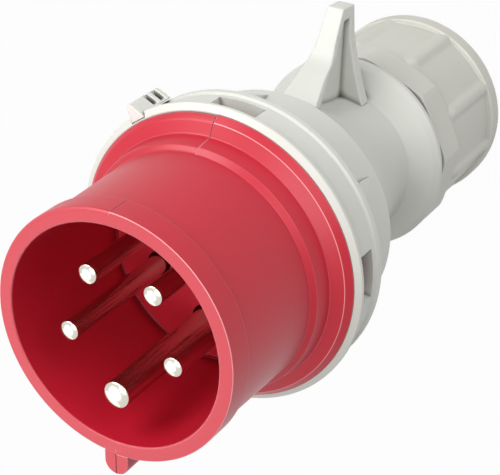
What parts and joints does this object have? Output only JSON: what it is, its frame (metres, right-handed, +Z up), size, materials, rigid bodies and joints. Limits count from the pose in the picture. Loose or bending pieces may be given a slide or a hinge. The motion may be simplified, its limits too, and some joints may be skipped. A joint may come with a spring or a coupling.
{
  "type": "industrial pin and sleeve plug",
  "caption": "Straight industrial pin and sleeve plug with a round shroud, guide key, round contact pins, gray rear housing with grip fin and screw-on cable gland.",
  "frame": {"origin": "centre of the shroud's mouth, in the plane of its front rim", "axes": "+Z up along the plug's axis from the cable end to the mouth, -Y through the grip fin, +X to the right seen from the fin; the plug stands on its gland nut, because it would roll on its side"},
  "size_m": [0.0798, 0.0872, 0.1607],
  "materials": {
    "shroud_red": "satin moulded polyamide, signal red",
    "housing_gray": "satin moulded polyamide, light gray",
    "lock_gray": "satin moulded polyamide, light gray",
    "nut_gray": "satin moulded polyamide, light gray",
    "contact_nickel": "bright nickel plate on brass",
    "screw_steel": "zinc-plated steel",
    "spring_bronze": "plain bronze strip",
    "carrier_black": "satin moulded polyamide, black",
    "seal_rubber": "matte moulded rubber",
    "cage_white": "satin moulded polyamide, off-white",
    "washer_gray": "satin moulded polyamide, gray"
  },
  "bodies": {
    "housing": {"rear_housing": "housing_gray", "gland_cage": "cage_white", "gland_seal_outer": "seal_rubber", "gland_seal_inner": "seal_rubber"},
    "front": {"front_shroud": "shroud_red", "pin_line_1": "contact_nickel", "pin_line_2": "contact_nickel", "pin_line_3": "contact_nickel", "pin_neutral": "contact_nickel", "pin_earth": "contact_nickel", "terminal_screws": "screw_steel", "terminal_screw_earth": "screw_steel", "wire_guards": "spring_bronze", "wire_guard_earth": "spring_bronze", "contact_carrier": "carrier_black", "carrier_screw": "screw_steel", "flange_gasket": "seal_rubber"},
    "lock": {"lock_slide": "lock_gray"},
    "washer": {"slip_washer": "washer_gray"},
    "nut": {"gland_nut": "nut_gray"}
  },
  "joints": [
    {"name": "shroud_twist", "type": "hinge", "parent": "housing", "child": "front", "pos_m": [0, 0, -0.05], "axis": [0, 0, -1], "range_deg": [0, 28]},
    {"name": "lock_travel", "type": "slide", "parent": "housing", "child": "lock", "axis": [0, 0, -1], "range_m": [0, 0.003]},
    {"name": "washer_travel", "type": "slide", "parent": "housing", "child": "washer", "axis": [0, 0, -1], "range_m": [0, 0.006]},
    {"name": "nut_turn", "type": "hinge", "parent": "washer", "child": "nut", "pos_m": [0, 0, -0.14], "axis": [0, 0, -1], "range_deg": [0, 1080]}
  ],
  "couplings": [
    {"joint": "washer_travel", "follows": "nut_turn", "m_per_rad": 0.00031831}
  ]
}
